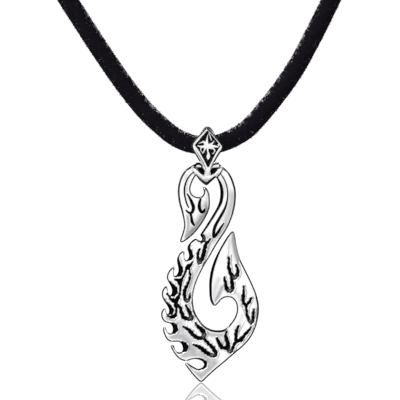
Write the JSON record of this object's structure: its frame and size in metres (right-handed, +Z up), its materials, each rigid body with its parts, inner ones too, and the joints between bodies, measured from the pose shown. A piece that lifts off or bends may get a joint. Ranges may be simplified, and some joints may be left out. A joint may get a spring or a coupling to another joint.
{
  "type": "fish hook pendant on a leather cord",
  "caption": "Polished cast fish hook pendant with wave curls and blackened flame grooves, hung by a kite-shaped bail on a round black leather cord.",
  "frame": {"origin": "middle of the clasp, where the loop lies on the nape of the neck", "axes": "+Z up along the hanging necklace, -Y out of the pendant's face, +X to the right as seen from the front"},
  "size_m": [0.1259, 0.0076, 0.2205],
  "materials": {
    "cord_leather": "black, matt, with a slightly fuzzy edge",
    "clasp_steel": "satin",
    "polished_metal": "mirror polished, with blackened recesses"
  },
  "bodies": {
    "necklace": {"cord": "cord_leather", "clasp": "clasp_steel"},
    "bail": {"bail": "polished_metal"},
    "hook": {"hook": "polished_metal"}
  },
  "joints": [
    {"name": "bail_swing", "type": "hinge", "parent": "necklace", "child": "bail", "pos_m": [0, 0, -0.17], "axis": [1, 0, 0], "range_deg": [-75, 75]},
    {"name": "hook_swing", "type": "hinge", "parent": "bail", "child": "hook", "pos_m": [0, 0, -0.17405], "axis": [1, 0, 0], "range_deg": [-45, 75]}
  ]
}
